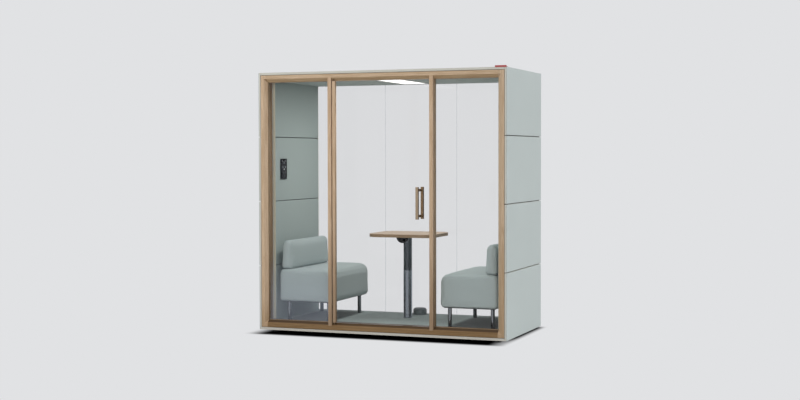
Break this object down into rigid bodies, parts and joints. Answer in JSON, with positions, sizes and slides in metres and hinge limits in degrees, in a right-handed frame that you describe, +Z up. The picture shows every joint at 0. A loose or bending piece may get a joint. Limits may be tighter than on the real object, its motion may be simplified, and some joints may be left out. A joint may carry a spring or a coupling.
{
  "type": "acoustic office pod",
  "caption": "Free-standing acoustic office pod with fabric-clad walls, oak-framed glass front and hinged glass door, lounge seats facing each other across a column table.",
  "frame": {"origin": "on the ground under the middle of the whole object's box, the door handle included", "axes": "+X to the right seen from the door, +Y from the door to the back glass, +Z up"},
  "size_m": [2.19, 1.089, 2.212],
  "materials": {
    "shell_board": "pale painted board",
    "shell_fabric": "pale grey-green woven wool fabric",
    "liner_felt": "grey-green acoustic felt",
    "upholstery": "grey-green wool upholstery",
    "carpet": "grey-green loop carpet",
    "oak": "matt lacquered oak",
    "clear_glass": "clear laminated glass",
    "brushed_steel": "satin stainless steel",
    "leg_chrome": "dark chrome tube",
    "column_steel": "dark grey powder-coated steel",
    "aluminium": "satin anodised",
    "black_plastic": "satin black moulding",
    "pale_plastic": "pale button caps",
    "rubber": "moulded black rubber",
    "light_diffuser": "opal light diffuser",
    "tab_fabric": "plain red tab with no lettering"
  },
  "bodies": {
    "root": {"base_panel": "shell_board", "floor_deck": "shell_board", "floor_carpet": "carpet", "roof_panel": "shell_board", "left_outer_panel_1": "shell_fabric", "left_outer_panel_2": "shell_fabric", "left_outer_panel_3": "shell_fabric", "left_outer_panel_4": "shell_fabric", "right_outer_panel_1": "shell_fabric", "right_outer_panel_2": "shell_fabric", "right_outer_panel_3": "shell_fabric", "right_outer_panel_4": "shell_fabric", "left_wall_core": "shell_board", "right_wall_core": "shell_board", "left_inner_liner": "liner_felt", "right_inner_liner": "liner_felt", "ceiling_panel": "liner_felt", "light_panel": "light_diffuser", "fan_frame": "black_plastic", "left_post": "oak", "right_post": "oak", "top_rail": "oak", "bottom_rail": "oak", "left_mullion": "oak", "right_mullion": "oak", "left_front_glass": "clear_glass", "right_front_glass": "clear_glass", "lower_pivot": "brushed_steel", "upper_pivot": "brushed_steel", "back_sill_channel": "aluminium", "back_head_channel": "aluminium", "back_glass_1": "clear_glass", "back_glass_2": "clear_glass", "back_glass_3": "clear_glass", "left_seat_cushion": "upholstery", "left_back_cushion": "upholstery", "left_seat_frame": "leg_chrome", "right_seat_cushion": "upholstery", "right_back_cushion": "upholstery", "right_seat_frame": "leg_chrome", "table_top": "oak", "table_column": "column_steel", "power_bowl": "black_plastic", "power_inlet_hood": "black_plastic", "control_panel": "black_plastic", "edge_tab": "tab_fabric"},
    "door": {"door_stile": "oak", "door_glass": "clear_glass", "outer_handle": "oak", "inner_handle": "oak", "lower_handle_rod": "brushed_steel", "upper_handle_rod": "brushed_steel"},
    "fan": {"fan_rotor": "black_plastic"},
    "button_1": {"control_button_1": "pale_plastic"},
    "button_2": {"control_button_2": "pale_plastic"},
    "button_3": {"control_button_3": "pale_plastic"},
    "foot_front_left": {"levelling_foot_front_left": "rubber"},
    "foot_front_right": {"levelling_foot_front_right": "rubber"},
    "foot_back_left": {"levelling_foot_back_left": "rubber"},
    "foot_back_right": {"levelling_foot_back_right": "rubber"}
  },
  "joints": [
    {"name": "door_swing", "type": "hinge", "parent": "root", "child": "door", "pos_m": [-0.405, -0.4685, 0], "axis": [0, 0, -1], "range_deg": [0, 100]},
    {"name": "fan_spin", "type": "hinge", "parent": "root", "child": "fan", "pos_m": [0.52, 0.0695, 2.16], "axis": [0, 0, 1], "continuous": true},
    {"name": "button_1_press", "type": "slide", "parent": "root", "child": "button_1", "axis": [-1, 0, 0], "range_m": [0, 0.0015], "stiffness_N_per_m": 300},
    {"name": "button_2_press", "type": "slide", "parent": "root", "child": "button_2", "axis": [-1, 0, 0], "range_m": [0, 0.0015], "stiffness_N_per_m": 300},
    {"name": "button_3_press", "type": "slide", "parent": "root", "child": "button_3", "axis": [-1, 0, 0], "range_m": [0, 0.0015], "stiffness_N_per_m": 300},
    {"name": "foot_front_left_turn", "type": "hinge", "parent": "root", "child": "foot_front_left", "pos_m": [-0.985, -0.3755, 0], "axis": [0, 0, 1], "continuous": true},
    {"name": "foot_front_right_turn", "type": "hinge", "parent": "root", "child": "foot_front_right", "pos_m": [0.985, -0.3755, 0], "axis": [0, 0, 1], "continuous": true},
    {"name": "foot_back_left_turn", "type": "hinge", "parent": "root", "child": "foot_back_left", "pos_m": [-0.985, 0.4345, 0], "axis": [0, 0, 1], "continuous": true},
    {"name": "foot_back_right_turn", "type": "hinge", "parent": "root", "child": "foot_back_right", "pos_m": [0.985, 0.4345, 0], "axis": [0, 0, 1], "continuous": true}
  ]
}
